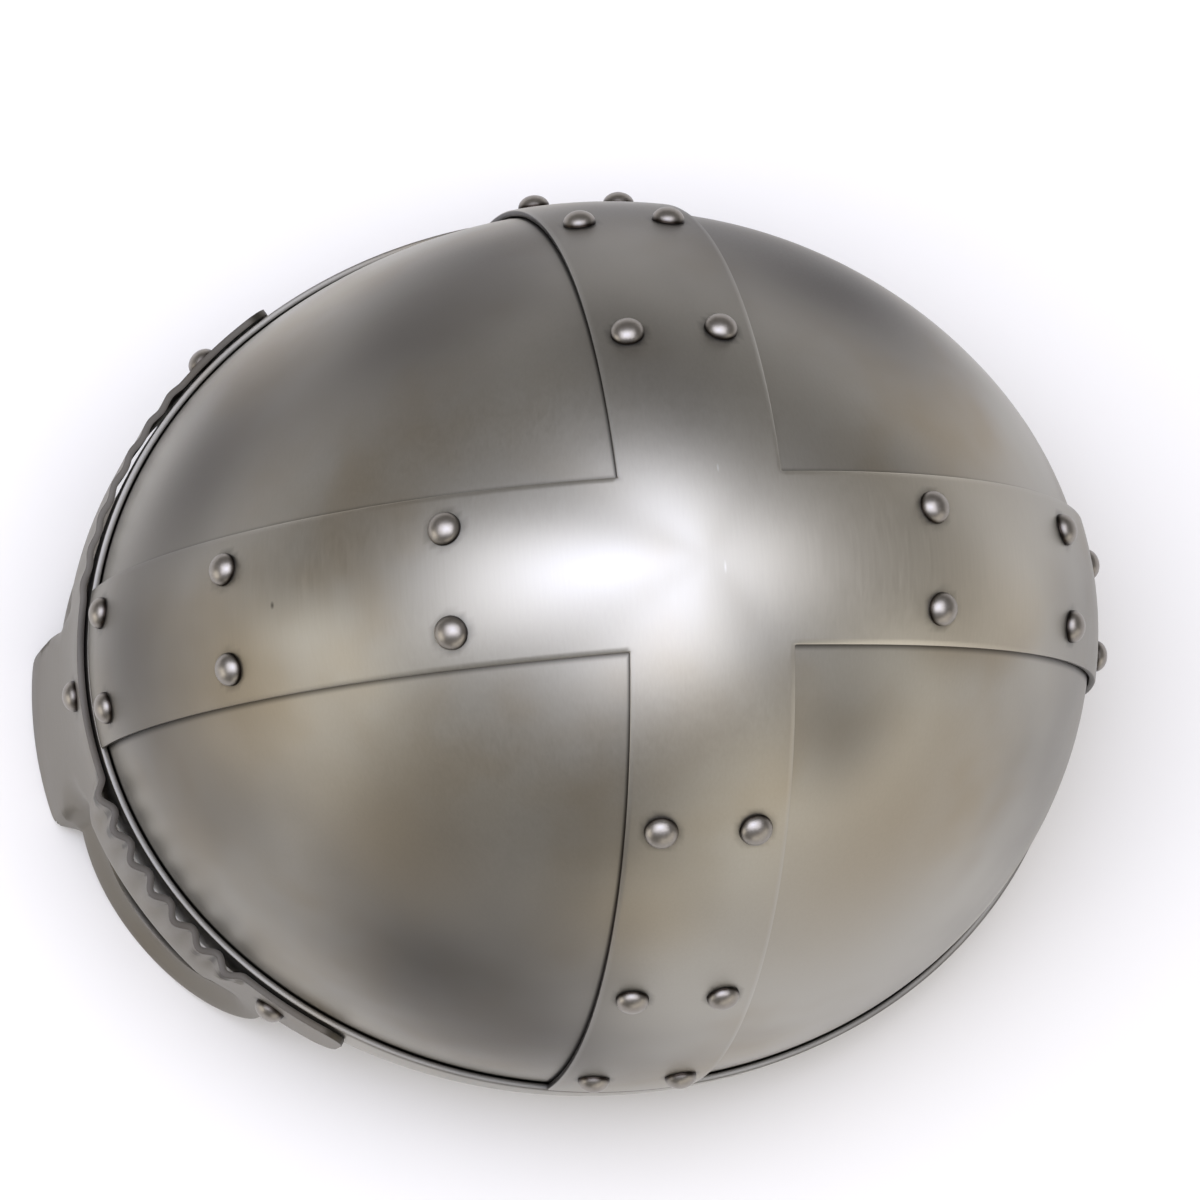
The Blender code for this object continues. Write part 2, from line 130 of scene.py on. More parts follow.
def skullPoint(azimuth, level):  # azimuth 0 is the front, a quarter turn the left
    share = planShare(azimuth, level)
    width, length = planHalfAxes(azimuth)
    return Vector((width * math.sin(azimuth) * share, -length * math.cos(azimuth) * share, level))


def azimuthAndShare(x, y):
    azimuth = math.atan2(x / skull["halfWidth"], -y / skull["halfLength"])
    for _ in range(search["azimuthTurns"]):
        width, length = planHalfAxes(azimuth)
        azimuth = math.atan2(x / width, -y / length)
    return azimuth, math.hypot(x / width, y / length)


def skullValue(point):  # below 0 inside the skull's outer face
    azimuth, share = azimuthAndShare(point.x, point.y)
    power = archExponent(azimuth)
    if point.z >= 0:
        return share ** power + (point.z / skull["height"]) ** power - 1
    return power * (share - planShare(azimuth, point.z))


def skullNormal(point):
    step = search["slopeStep"]
    slopes = []
    for axis in range(3):
        ahead = point.copy()
        behind = point.copy()
        ahead[axis] += step
        behind[axis] -= step
        slopes.append(skullValue(ahead) - skullValue(behind))
    return Vector(slopes).normalized()


def levelNormal(azimuth, level):
    normal = skullNormal(skullPoint(azimuth, min(level, band["rise"])))
    return Vector((normal.x, normal.y, 0)).normalized()


def crownPoint(x, y):
    azimuth, share = azimuthAndShare(x, y)
    power = archExponent(azimuth)
    return Vector((x, y, skull["height"] * max(1 - share ** power, 0) ** (1 / power)))


def meridian(azimuth, lowest):  # lengths from the crown down, with the level at each
    power = archExponent(azimuth)
    levels = [skull["height"] * math.sin(math.radians(angle)) ** (2 / power)
              for angle in range(90, -1, -1)]
    walls = search["wallLevels"]
    levels += [lowest * step / walls for step in range(1, walls + 1)]
    points = [skullPoint(azimuth, level) for level in levels]
    lengths = [0.0]
    for start, end in zip(points, points[1:]):
        lengths.append(lengths[-1] + (end - start).length)
    return lengths, levels


def stripPoint(azimuth, length, across, table):  # on the skull, beside an arm's middle line
    middle = skullPoint(azimuth, tableValue(length, *table))
    normal = skullNormal(middle)
    side = Vector((0, 0, 1)).cross(Vector((normal.x, normal.y, 0))).normalized() * across
    low, high = -cross["longWidth"], cross["longWidth"] / 2
    for _ in range(search["stripSteps"]):
        reach = (low + high) / 2
        if skullValue(middle + side + normal * reach) > 0:
            high = reach
        else:
            low = reach
    return middle + side + normal * low


# The helmet stands tilted back as it rests, which the rim's mount tells
rim = next(mount for mount in frame["record"]["mounts"] if mount["name"] == "brow_rim")
tilt = math.atan2(rim["axis"][1], -rim["axis"][2])
rimBack = skullPoint(math.pi, -band["drop"])
rimBack = Vector((0, rimBack.y + skull["clearance"] + skull["sheet"] / 2, rimBack.z))
turn = Matrix.Rotation(tilt, 4, "X")
toWorld = Matrix.Translation(Vector(rim["pos_m"]) - turn @ rimBack) @ turn
print("tilt", round(math.degrees(tilt), 3))


def hexColor(text):  # sRGB hex to linear
    parts = [int(text[i:i + 2], 16) / 255 for i in (0, 2, 4)]
    return [c / 12.92 if c <= 0.04045 else ((c + 0.055) / 1.055) ** 2.4 for c in parts] + [1.0]


def addNode(tree, kind, settings=None, links=None):
    node = tree.nodes.new(kind)
    for key, value in (settings or {}).items():
        if isinstance(key, int) or key in node.inputs:
            node.inputs[key].default_value = value
        else:
            setattr(node, key, value)
    for key, socket in (links or {}).items():
        tree.links.new(socket, node.inputs[key])
    return node


# Mild steel, hammered and brushed, darkened with a grey-brown patina and abraded
# back: satin and grey where it wears, smoky where the patina stayed; part of the smoky clouds is
# painted dark reflection and the lighter patches are a painted highlight
steelLook = {
    "bare": "a09d95",
    "smokeAndReflection": "46433f",
    "warm": "8e8066",
    "paintedHighlight": "c8c2b4",
    "seam": "17120f",
    "wearAndShading": "c8c7c6",
    "cloudSize": 0.085,
    "cloudOnset": (0.42, 0.72),
    "cloudStrength": 0.4,
    "warmOnset": (0.45, 0.75),
    "warmStrength": 0.5,
    "warmFineness": 1.7,
    "platePatina": 0.52,
    "wanderSize": 0.060,
    "wanderReach": 0.022,
    "grainWidth": 0.00055,
    "grainLength": 0.022,
    "grainTone": (0.93, 1.06),
    "grainRoughness": 0.10,
    "grainBump": 0.000006,
    "hammerSize": 0.022,
    "hammerBump": 0.00008,
    "roughness": (0.36, 0.46),
}
# Nicks and scratches: middle, reach along each axis, strength, tone
nicks = (
    ((-0.0007, -0.0842, 0.0899), (0.0010, 0.0004, 0.0030), 0.90, "seam"),
    ((0.0021, 0.0028, 0.1368), (0.0016, 0.0003, 0.0030), 0.55, "wearAndShading"),
    ((-0.0189, 0.0033, 0.1345), (0.0011, 0.0003, 0.0030), 0.55, "wearAndShading"),
)
# How dark and how wide the seams are beside the cross: along the long strip, in
# front of the side arms and behind them, and above the brow band; dirt in the joint with a
# painted shadow of the sheet's step
seamLook = {
    "long": (0.75, 0.0016),
    "before": (0.85, 0.0009),
    "behind": (0.40, 0.0010),
    "brow": (0.90, 0.0012),
}
# Smoky clouds, partly patina and partly painted dark reflection, mostly low on the flanks: middle
# in the helmet's frame, radius, strength
smokeAndReflectionClouds = (
    ((-0.061, -0.052, 0.082), 0.050, 0.75),
    ((-0.079, -0.027, 0.074), 0.045, 0.70),
    ((-0.038, -0.092, 0.055), 0.050, 0.80),
    ((-0.002, -0.108, 0.038), 0.046, 0.75),
    ((-0.068, 0.045, 0.086), 0.056, 0.95),
    ((-0.078, 0.020, 0.074), 0.050, 0.75),
    ((-0.080, 0.002, 0.065), 0.030, 0.60),
    ((0.074, -0.048, 0.066), 0.052, 0.80),
    ((0.089, -0.026, 0.048), 0.046, 0.65),
    ((0.036, -0.098, 0.045), 0.030, 0.40),
    ((0.034, 0.028, 0.121), 0.024, 0.45),
)
# Brownish clouds, told the same way
warmClouds = (
    ((0.009, 0.056, 0.120), 0.022, 0.75),
    ((0.013, 0.068, 0.110), 0.018, 0.60),
    ((0.049, -0.064, 0.084), 0.035, 0.55),
    ((0.054, 0.045, 0.098), 0.050, 0.50),
    ((0.020, -0.098, 0.065), 0.040, 0.50),
    ((0.068, -0.016, 0.098), 0.030, 0.45),
    ((-0.030, 0.062, 0.105), 0.030, 0.40),
)
# Lighter patches on the cross round the crown and down its back arm, told the same way: a painted
# highlight where the overhead softbox's reflection spreads
paintedHighlightClouds = (
    ((0.000, 0.042, 0.130), 0.046, 0.85),
    ((0.003, 0.066, 0.115), 0.036, 0.45),
    ((0.037, -0.004, 0.128), 0.030, 0.40),
)


def overlay(tree, tone, share, under):  # lays a tone over what is there
    return addNode(tree, "ShaderNodeMix", {"data_type": "RGBA", 7: hexColor(tone)},
                   {0: share, 6: under}).outputs[2]


def smoothRange(tree, value, start, end, low, high):
    return addNode(tree, "ShaderNodeMapRange", {
        "interpolation_type": "SMOOTHSTEP", "From Min": start, "From Max": end,
        "To Min": low, "To Max": high}, {"Value": value}).outputs["Result"]


def larger(tree, first, second):
    if first is None:
        return second
    return addNode(tree, "ShaderNodeMath", {"operation": "MAXIMUM"},
                   {0: first, 1: second}).outputs["Value"]


def addPuffs(tree, base, puffs, puffSpot):  # soft round clouds over what is there
    for middle, radius, strength in puffs:
        away = addNode(tree, "ShaderNodeVectorMath", {"operation": "DISTANCE", 1: middle},
                       {0: puffSpot})
        puff = smoothRange(tree, away.outputs["Value"], radius, 0.0, 0.0, strength)
        base = addNode(tree, "ShaderNodeMix", {"data_type": "FLOAT", 3: 1.0},
                       {0: puff, 2: base}).outputs[0]
    return base


def wanderingSpot(tree, spot):  # edges that wander as smoke does
    reach = steelLook["wanderReach"]
    wander = addNode(tree, "ShaderNodeTexNoise", {
        "Scale": 1 / steelLook["wanderSize"], "Detail": 1.0}, {"Vector": spot})
    wander = addNode(tree, "ShaderNodeVectorMath", {
        "operation": "MULTIPLY_ADD", 1: (reach,) * 3, 2: (-reach / 2,) * 3},
        {0: wander.outputs["Color"]})
    return addNode(tree, "ShaderNodeVectorMath", {"operation": "ADD"}, {
        0: spot, 1: wander.outputs["Vector"]}).outputs["Vector"]


def nickShares(tree, spot):  # light and dark marks, each a small stretched dot
    marks = {"wearAndShading": None, "seam": None}
    for middle, reach, strength, tone in nicks:
        away = addNode(tree, "ShaderNodeVectorMath", {"operation": "SUBTRACT", 1: middle},
                       {0: spot})
        away = addNode(tree, "ShaderNodeVectorMath", {
            "operation": "DIVIDE", 1: reach}, {0: away.outputs["Vector"]})
        away = addNode(tree, "ShaderNodeVectorMath", {"operation": "LENGTH"},
                       {0: away.outputs["Vector"]})
        mark = addNode(tree, "ShaderNodeMapRange", {
            "From Min": 1.0, "From Max": 0.0, "To Min": 0.0, "To Max": strength},
            {"Value": away.outputs["Value"]}).outputs["Result"]
        marks[tone] = larger(tree, marks[tone], mark)
    return marks


def seamShare(tree, spot):  # dirt and painted shadow from each seam's edge outward, and nothing on its far side
    axes = addNode(tree, "ShaderNodeSeparateXYZ", None, {"Vector": spot})
    longEdge = cross["longWidth"] / 2
    sideEdge = cross["sideWidth"] / 2
    walls = (("X", 1, longEdge, "long"), ("X", -1, longEdge, "long"),
             ("Y", -1, sideEdge, "before"), ("Y", 1, sideEdge, "behind"),
             ("Z", 1, band["rise"], "brow"))
    seam = None
    for axis, sign, edge, kind in walls:
        strength, width = seamLook[kind]
        dark = smoothRange(tree, axes.outputs[axis], sign * (edge + width), sign * edge,
                           0.0, strength)
        if kind != "brow":
            inside = addNode(tree, "ShaderNodeMath", {"operation": "MULTIPLY", 1: sign},
                             {0: axes.outputs[axis]})
            beyond = addNode(tree, "ShaderNodeMath", {
                "operation": "GREATER_THAN", 1: 0.0}, {0: inside.outputs["Value"]})
            dark = addNode(tree, "ShaderNodeMath", {"operation": "MULTIPLY"}, {
                0: dark, 1: beyond.outputs["Value"]}).outputs["Value"]
        seam = larger(tree, seam, dark)
    return seam


def steelMaterial(name, kind, patina=0.0):
    look = steelLook
    material = bpy.data.materials.new(name)
    material.use_nodes = True
    tree = material.node_tree
    shader = tree.nodes["Principled BSDF"]
    place = addNode(tree, "ShaderNodeTexCoord")
    back = toWorld.inverted()
    spot = addNode(tree, "ShaderNodeMapping", {
        "Location": back.to_translation(), "Rotation": back.to_euler()},
        {"Vector": place.outputs["Object"]}).outputs["Vector"]

    # patina clouds, smoky and warm; the placed smoky clouds are partly painted dark reflection
    puffSpot = wanderingSpot(tree, spot)
    cloud = addNode(tree, "ShaderNodeTexNoise", {
        "Scale": 1 / look["cloudSize"], "Detail": 3.0, "Roughness": 0.45, "Distortion": 0.3},
        {"Vector": spot})
    smokeAndReflection = smoothRange(tree, cloud.outputs["Fac"], *look["cloudOnset"],
                        patina, patina + look["cloudStrength"])
    smokeAndReflection = addPuffs(tree, smokeAndReflection, smokeAndReflectionClouds, puffSpot)
    warm = addNode(tree, "ShaderNodeTexNoise", {
        "Scale": look["warmFineness"] / look["cloudSize"], "Detail": 3.0, "Roughness": 0.55},
        {"Vector": spot})
    warmth = smoothRange(tree, warm.outputs["Fac"], *look["warmOnset"],
                         patina / 2, patina / 2 + look["warmStrength"])
    warmth = addPuffs(tree, warmth, warmClouds, puffSpot)

    # fine brushed grain from side to side, and broad hammer dents
    grain = addNode(tree, "ShaderNodeMapping", {"Scale": (
        1 / look["grainLength"], 1 / look["grainWidth"], 1 / look["grainWidth"])},
        {"Vector": spot})
    brushed = addNode(tree, "ShaderNodeTexNoise", {
        "Scale": 1.0, "Detail": 2.0, "Roughness": 0.6}, {"Vector": grain.outputs["Vector"]})
    hammered = addNode(tree, "ShaderNodeTexNoise", {
        "Scale": 1 / look["hammerSize"], "Detail": 1.0}, {"Vector": spot})

    marks = nickShares(tree, spot)
    if kind == "panel":
        seam = seamShare(tree, spot)
    else:
        # patina with painted contact shadow round the rivets, and painted shade on the sheets'
        # edge walls
        grimeAndShade = addNode(tree, "ShaderNodeAttribute", {"attribute_name": "rivetGrimeAndShade"})
        seam = grimeAndShade.outputs["Fac"]

    color = addNode(tree, "ShaderNodeMix", {
        "data_type": "RGBA", 6: hexColor(look["bare"]), 7: hexColor(look["warm"])},
        {0: warmth}).outputs[2]
    color = overlay(tree, look["smokeAndReflection"], smokeAndReflection, color)
    # painted highlight: lighter patches on the cross round the crown
    if kind == "band" and not patina:
        unpaintedHighlight = addNode(tree, "ShaderNodeValue").outputs[0]
        unpaintedHighlight.default_value = 0.0
        color = overlay(tree, look["paintedHighlight"], addPuffs(tree, unpaintedHighlight, paintedHighlightClouds, puffSpot), color)
    fine = addNode(tree, "ShaderNodeMapRange", {
        "To Min": look["grainTone"][0], "To Max": look["grainTone"][1]},
        {"Value": brushed.outputs["Fac"]})
    color = addNode(tree, "ShaderNodeVectorMath", {"operation": "SCALE"},
                    {0: color, "Scale": fine.outputs["Result"]}).outputs[0]
    color = overlay(tree, look["wearAndShading"], marks["wearAndShading"], color)
    # dark seams, rings and edges: dirt and patina with painted shadow and shade; the dark nicks
    # are marks in the metal
    color = overlay(tree, look["seam"], larger(tree, seam, marks["seam"]), color)
    # wear with a painted highlight along the upward edges of the cross's side arms
    if kind != "panel":
        wearAndShading = addNode(tree, "ShaderNodeAttribute", {"attribute_name": "wearAndShadingEdge"})
        color = overlay(tree, look["wearAndShading"], wearAndShading.outputs["Fac"], color)
    tree.links.new(color, shader.inputs["Base Color"])

    rough = addNode(tree, "ShaderNodeMapRange", {
        "To Min": look["roughness"][0], "To Max": look["roughness"][1]}, {"Value": smokeAndReflection})
    rough = addNode(tree, "ShaderNodeMath", {
        "operation": "MULTIPLY_ADD", 1: look["grainRoughness"]},
        {0: brushed.outputs["Fac"], 2: rough.outputs["Result"]})
    tree.links.new(rough.outputs["Value"], shader.inputs["Roughness"])
    shader.inputs["Metallic"].default_value = 1.0
    dents = addNode(tree, "ShaderNodeBump", {
        "Strength": 1.0, "Distance": look["hammerBump"]}, {"Height": hammered.outputs["Fac"]})
    bump = addNode(tree, "ShaderNodeBump", {
        "Strength": 1.0, "Distance": look["grainBump"]},
        {"Height": brushed.outputs["Fac"], "Normal": dents.outputs["Normal"]})
    tree.links.new(bump.outputs["Normal"], shader.inputs["Normal"])
    return material


# Rivets of the same steel, polished, darker where dome meets sheet: patina with a painted contact
# shadow
rivet = {
    "headRadius": 0.0036,
    "headHeight": 0.0028,
    "shankRadius": 0.00175,
    "tailRadius": 0.0028,
    "tailHeight": 0.0009,
    "longSpacing": 0.0208,
    "sideSpacing": 0.0195,
    "steps": 40,
    "domeAngles": range(0, 91, 9),
    "tailAngles": (30, 60, 90),
    "weld": 1e-6,
    "seatShare": 0.3,
    "bright": "9a958e",
    "dark": "2e2823",
    "roughness": 0.38,
    "blotchScale": 700.0,
    "blotchDepth": 0.35,
    "baseGrimeAndShadeRise": 0.45,
    "ringGrimeAndShade": 0.40,
    "ringSpread": 1.35,
}
# Where the three pairs sit down each arm, as shares of its length from the crown
rivetShares = {
    "front": (0.295, 0.610, 0.925),
    "back": (0.281, 0.560, 0.852),
    "left": (0.326, 0.616, 0.895),
    "right": (0.306, 0.601, 0.888),
}
cross = {
    "longWidth": 0.0355,
    "sideWidth": 0.0338,
    "armGap": 0.0006,
    "columns": 28,
    "rows": 110,
    "edgeRadius": 0.00035,
}
# Each arm's heading, its own width, the width that it crosses, the pairs' spacing
arms = {
    "front": (0.0, cross["longWidth"], cross["sideWidth"], rivet["longSpacing"]),
    "back": (math.pi, cross["longWidth"], cross["sideWidth"], rivet["longSpacing"]),
    "left": (math.pi / 2, cross["sideWidth"], cross["longWidth"], rivet["sideSpacing"]),
    "right": (-math.pi / 2, cross["sideWidth"], cross["longWidth"], rivet["sideSpacing"]),
}


def rivetMaterial():
    material = bpy.data.materials.new("polished rivet steel")
    material.use_nodes = True
    tree = material.node_tree
    shader = tree.nodes["Principled BSDF"]
    shader.inputs["Metallic"].default_value = 1.0
    shader.inputs["Roughness"].default_value = rivet["roughness"]
    # darker towards the dome's base: patina with a painted contact shadow
    patinaAndShade = addNode(tree, "ShaderNodeAttribute", {"attribute_name": "rivetGrimeAndShade"})
    place = addNode(tree, "ShaderNodeTexCoord")
    blotch = addNode(tree, "ShaderNodeTexNoise", {
        "Scale": rivet["blotchScale"], "Detail": 2.0}, {"Vector": place.outputs["Object"]})
    mottle = addNode(tree, "ShaderNodeMath", {
        "operation": "MULTIPLY_ADD", 1: rivet["blotchDepth"], "use_clamp": True},
        {0: blotch.outputs["Fac"], 2: patinaAndShade.outputs["Fac"]})
    color = addNode(tree, "ShaderNodeMix", {
        "data_type": "RGBA", 6: hexColor(rivet["bright"]), 7: hexColor(rivet["dark"])},
        {0: mottle.outputs["Value"]})
    tree.links.new(color.outputs[2], shader.inputs["Base Color"])
    return material


def pointAttribute(mesh, name, rule):  # one value per vertex, read by the materials
    values = [rule(vertex) for vertex in mesh.vertices]
    mesh.attributes.new(name, "FLOAT", "POINT").data.foreach_set("value", values)


def finishPiece(name, mesh, material):  # stands for the CAD node of the same name
    bmesh.ops.transform(mesh, matrix=toWorld, verts=mesh.verts)
    data = bpy.data.meshes.new(name)
    mesh.to_mesh(data)
    mesh.free()
    piece = bpy.data.objects.new(name, data)
    bpy.context.scene.collection.objects.link(piece)
    data.materials.append(material)
    data.shade_smooth()
    data.set_sharp_from_angle(angle=math.radians(sheetFinish["smoothAngle"]))
    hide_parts(name)
    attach(piece, "root")
    return piece


def addGrid(mesh, columns, rows, place):  # a grid whose points are moved to their places
    made = bmesh.ops.create_grid(mesh, x_segments=columns, y_segments=rows, size=0.5)
    for vert in made["verts"]:
        vert.co = place(vert.co.x + 0.5, vert.co.y + 0.5)


def sharpEdges(mesh, degrees):
    return [edge for edge in mesh.edges
            if len(edge.link_faces) == 2 and edge.calc_face_angle() > math.radians(degrees)]


def makeSheet(mesh, shift, edgeRadius):
    # closes the seams of the grids, then gives the sheet its thickness and soft edges
    bmesh.ops.remove_doubles(mesh, verts=mesh.verts, dist=sheetFinish["weld"])
    bmesh.ops.recalc_face_normals(mesh, faces=mesh.faces)
    outward = sum(face.normal.dot(face.calc_center_median()) for face in mesh.faces)
    if outward < 0:
        bmesh.ops.reverse_faces(mesh, faces=mesh.faces)
    mesh.normal_update()
    out = mesh.verts.layers.float_vector.new("out")
    for vert in mesh.verts:
        vert[out] = vert.normal
        vert.co += vert.normal * shift
    inner = bmesh.ops.extrude_face_region(mesh, geom=mesh.faces[:], use_keep_orig=True)
    for vert in inner["geom"]:
        if isinstance(vert, bmesh.types.BMVert):
            vert.co -= vert[out] * skull["sheet"]
    mesh.verts.layers.float_vector.remove(mesh.verts.layers.float_vector["out"])
    bmesh.ops.recalc_face_normals(mesh, faces=mesh.faces)
    mesh.normal_update()
    bmesh.ops.bevel(mesh, geom=sharpEdges(mesh, sheetFinish["cornerAngle"]), offset=edgeRadius,
                    offset_type="OFFSET", segments=sheetFinish["bevelSegments"], profile=0.5,
                    affect="EDGES", clamp_overlap=True, material=-1)


# The face plate sits a little towards the wearer's left, and the panels stop
# short of the middle planes, clear of its nose rivet's tail
plateShift = 0.0042
panel = {
    "setback": plateShift + rivet["tailRadius"] + skull["clearance"],
    "lift": 0.001,
    "wallShare": 0.12,
    "columns": 60,
    "rows": 64,
    "edgeRadius": 0.0002,
}


def edgeAzimuth(level, xEdge, yEdge, atXEdge):  # where a panel ends at this level
    start = 0.0 if yEdge < 0 else math.copysign(math.pi, xEdge)
    end = math.copysign(math.pi / 2, xEdge)
    for _ in range(search["edgeSteps"]):
        middle = (start + end) / 2
        point = skullPoint(middle, level)
        reach = abs(point.x) - abs(xEdge) if atXEdge else abs(yEdge) - abs(point.y)
        if reach < 0:
            start = middle
        else:
            end = middle
    return (start + end) / 2


def makePanel(name, xSide, ySide, material):
    xEdge = xSide * panel["setback"]
    yEdge = ySide * panel["setback"]
    peak = crownPoint(xEdge, yEdge)
    low = panel["lift"] - band["drop"]
    wall = panel["wallShare"]
    edges = {}

    def place(u, v):
        if v > 1 - 1e-6:
            return peak
        level = low * (1 - v / wall)
        if v > wall:
            level = peak.z * math.sin((v - wall) / (1 - wall) * math.pi / 2)
        key = round(v, 6)
        if key not in edges:
            edges[key] = [edgeAzimuth(level, xEdge, yEdge, side) for side in (True, False)]
        start, end = edges[key]
        return skullPoint(start + (end - start) * u, level)

    mesh = bmesh.new()
    addGrid(mesh, panel["columns"], panel["rows"], place)
    makeSheet(mesh, 0.0, panel["edgeRadius"])
    return finishPiece(name, mesh, material)


def makeCross(material):
    halfX = cross["longWidth"] / 2
    halfY = cross["sideWidth"] / 2
    columns = cross["columns"]
    mesh = bmesh.new()
    addGrid(mesh, columns, columns,
            lambda u, v: crownPoint(halfX * (2 * u - 1), halfY * (2 * v - 1)))
    for azimuth, width, crossWidth, _ in arms.values():
        table = meridian(azimuth, -band["drop"])
        reaches = [skullPoint(azimuth, level).xy.length for level in table[1]]
        start = tableValue(crossWidth / 2, reaches, table[0])
        end = tableValue(-(band["rise"] + cross["armGap"]), [-level for level in table[1]],
                         table[0])
        heading = Vector((round(math.sin(azimuth)), -round(math.cos(azimuth)), 0))
        side = Vector((0, 0, 1)).cross(heading)

        def place(u, v):
            across = width * (u - 0.5)
            if v < 1e-6:
                spot = heading * crossWidth / 2 + side * across
                return crownPoint(spot.x, spot.y)
            return stripPoint(azimuth, start + (end - start) * v, across, table)

        addGrid(mesh, columns, cross["rows"], place)
    makeSheet(mesh, bandOuter, cross["edgeRadius"])
    return finishPiece("cross_band", mesh, material)


def makeBrowBand(material):
    def place(u, v):
        return skullPoint(2 * math.pi * u, -band["drop"] + (band["drop"] + band["rise"]) * v)

    mesh = bmesh.new()
    addGrid(mesh, band["segments"], band["rows"], place)
    makeSheet(mesh, bandOuter, band["edgeRadius"])
    return finishPiece("brow_band", mesh, material)


# Face plate: one sheet with fluted eyebrows, eye rings and the nose guard
plate = {
    "shift": plateShift,
    "topInset": 0.001,
    "stripDrop": 0.014,
    "halfSpan": 0.1005,
    "endRound": 0.006,
    "noseRivetInset": 0.0105,
    "templeRivetInset": 0.0174,
    "eyePlace": 0.0485,
    "eyeLevel": -0.0255,
    "eyeHalfWidth": 0.0265,
    "eyeRise": 0.009,
    "eyeDrop": 0.0245,
    "browPower": 2.3,
    "ringPower": 2.0,
    "ringWidth": 0.0085,
    "ringDish": 0.0026,
    "noseStart": 0.0,
    "noseRoot": -0.045,
    "noseTip": -0.062,
    "noseHalfWidth": 0.0180,
    "noseLean": 0.0042,
    "noseStand": 0.0046,
    "noseSide": 0.0045,
    "noseJoin": 0.0055,
    "noseCorner": 0.0035,
    "fluteStart": 0.0195,
    "flutePitch": 0.0078,
    "fluteCount": 7,
    "fluteDepth": 0.0014,
    "fluteBias": 0.57,
    "fluteCells": 14,
    "innerCells": 12,
    "outerCells": 6,
    "sideCells": 14,
    "ringCells": 70,
    "rootCells": 16,
    "middleCells": 24,
    "rings": 18,
    "noseCells": (16, 12),
    "noseFlat": 0.75,
    "endCells": (36, 14),
    "edgeRadius": 0.0003,
}
plateTop = band["rise"] - plate["topInset"]
roundAzimuths = [math.radians(angle) for angle in range(0, 91)]
roundLengths = [0.0]
for before, after in zip(roundAzimuths, roundAzimuths[1:]):
    roundLengths.append(roundLengths[-1] + (skullPoint(after, 0) - skullPoint(before, 0)).length)


def plateAzimuth(place):  # place is the length round the brow, from the nose rivet
    length = place + plate["shift"]
    return math.copysign(tableValue(abs(length), roundLengths, roundAzimuths), length)


def fluteLift(place, level):  # an eyebrow that stands proud, waved towards its top
    along = (abs(place) - plate["fluteStart"]) / plate["flutePitch"]
    if along < 0 or along > plate["fluteCount"]:
        return 0.0
    depth = plate["fluteDepth"] * (1 + math.copysign(plate["fluteBias"], place))
    browEdge = plate["eyeLevel"] + plate["eyeRise"]
    fade = smoothStep(level, plate["eyeLevel"], browEdge)
    waved = smoothStep(level, browEdge, plateTop)
    wave = (1 - math.cos(2 * math.pi * along)) / 2
    ridge = smoothStep(along, 0, 1) * smoothStep(plate["fluteCount"] - along, 0, 1)
    return depth * fade * (ridge + (wave - ridge) * waved)


def noseShare(level):  # 0 at the brow, 1 at the nose guard's tip
    return smoothStep(-level, -plate["noseStart"], -plate["noseTip"])


def noseDrift(place, level):  # the nose guard leans to the wearer's left
    return plate["noseLean"] * max(1 - abs(place) / plate["eyePlace"], 0) * noseShare(level)


def plateMiddle(place, level):  # the middle of the sheet's thickness
    azimuth = plateAzimuth(place)
    stand = bandOuter + skull["clearance"] + skull["sheet"] / 2 + fluteLift(place, level)
    half = plate["noseHalfWidth"]
    fromNose = abs(place - noseDrift(half, level))
    onNose = 1 - smoothStep(fromNose, half, half + plate["noseSide"])
    stand += onNose * plate["noseStand"] * noseShare(level)
    lowEdge = plate["eyeDrop"] + plate["ringWidth"] - plate["eyeLevel"]
    belowBrow = smoothStep(-level, -plate["eyeLevel"] - plate["eyeRise"], lowEdge)
    stand += (1 - onNose) * plate["shift"] * math.sin(2 * azimuth) / 2 * belowBrow
    stand -= ringDip(place, level)
    return skullPoint(azimuth, 0) + levelNormal(azimuth, 0) * stand + Vector((0, 0, level))


def ringDip(place, level):  # the eye rings are dished in towards the eyes
    across = abs(place) - plate["eyePlace"]
    drop = level - plate["eyeLevel"]
    edge = eyeReach(math.atan2(drop, across))
    nearEye = 1 - smoothStep(math.hypot(across, drop), edge, edge + plate["ringWidth"])
    clear = band["drop"] + skull["sheet"]
    return plate["ringDish"] * nearEye * smoothStep(-level, clear, clear + 2 * plate["ringWidth"])


def eyeReach(angle):  # from the eye's middle to its edge
    upper = math.sin(angle) > 0
    height = plate["eyeRise"] if upper else plate["eyeDrop"]
    power = plate["browPower"] if upper else plate["ringPower"]
    spread = abs(math.cos(angle) / plate["eyeHalfWidth"]) ** power
    return (spread + abs(math.sin(angle) / height) ** power) ** (-1 / power)


